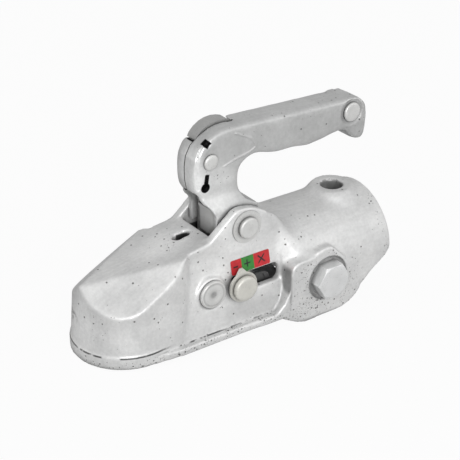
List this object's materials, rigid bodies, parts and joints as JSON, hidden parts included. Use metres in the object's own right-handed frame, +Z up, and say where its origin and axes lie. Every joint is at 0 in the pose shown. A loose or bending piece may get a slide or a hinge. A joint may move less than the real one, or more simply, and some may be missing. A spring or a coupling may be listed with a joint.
{
  "type": "trailer coupling head",
  "caption": "Pressed steel trailer coupling head with ball cup, lift handle, wear indicator and clamped round drawbar socket.",
  "frame": {"origin": "centre of the ball cup, which lies on the axis of the drawbar socket", "axes": "+X from the nose to the drawbar end, +Y to the far side in the picture, +Z up through the handle"},
  "size_m": [0.2158, 0.0981, 0.1368],
  "materials": {
    "galvanised": "hot-dip galvanised pressed sheet, matt with small pits",
    "handle": "galvanised pressed sheet, satin",
    "zinc": "zinc plated, satin",
    "pin": "zinc plated with a faint yellow tone",
    "inner_steel": "plain machined steel",
    "spring": "oil-dark spring steel",
    "forged": "forged steel, dark grey",
    "bronze": "sintered bronze",
    "label": "printed film, red and green fields"
  },
  "bodies": {
    "shell": {"housing": "galvanised", "pivot_rivet": "zinc", "pivot_washer_near": "zinc", "pivot_washer_far": "zinc", "jaw_rivet": "zinc", "wear_label": "label", "cross_bolt": "zinc", "cross_washer": "zinc", "cross_nut": "zinc", "drawbar_stop": "inner_steel"},
    "handle": {"handle_shell": "handle", "handle_front_rivet": "zinc", "handle_end_rivet": "zinc", "pivot_sleeve": "inner_steel", "drive_pin": "inner_steel", "handle_spring": "spring"},
    "catch": {"safety_catch": "handle", "catch_spring": "spring"},
    "slide_block": {"slider": "forged", "indicator_pin": "pin", "pointer_plate": "pin", "pin_retainer": "spring"},
    "clamp_jaw": {"jaw": "forged", "jaw_bush": "bronze", "jaw_spring": "spring"}
  },
  "joints": [
    {"name": "handle_lift", "type": "hinge", "parent": "shell", "child": "handle", "pos_m": [0.0758, 0, 0.0424], "axis": [0, -1, 0], "range_deg": [0, 34], "stiffness_Nm_per_rad": 4, "springref_deg": -34.38},
    {"name": "catch_press", "type": "hinge", "parent": "handle", "child": "catch", "pos_m": [0.0573, 0, 0.0859], "axis": [0, 1, 0], "range_deg": [0, 8], "stiffness_Nm_per_rad": 0.3, "springref_deg": -22.92},
    {"name": "slider_travel", "type": "slide", "parent": "shell", "child": "slide_block", "axis": [1, 0, 0], "range_m": [0, 0.01403]},
    {"name": "jaw_swing", "type": "hinge", "parent": "shell", "child": "clamp_jaw", "pos_m": [0.046, 0, 0.008], "axis": [0, -1, 0], "range_deg": [0, 20]}
  ],
  "couplings": [
    {"joint": "slider_travel", "follows": "handle_lift", "m_per_rad": 0.023649},
    {"joint": "jaw_swing", "follows": "handle_lift", "ratio": 0.58824}
  ]
}
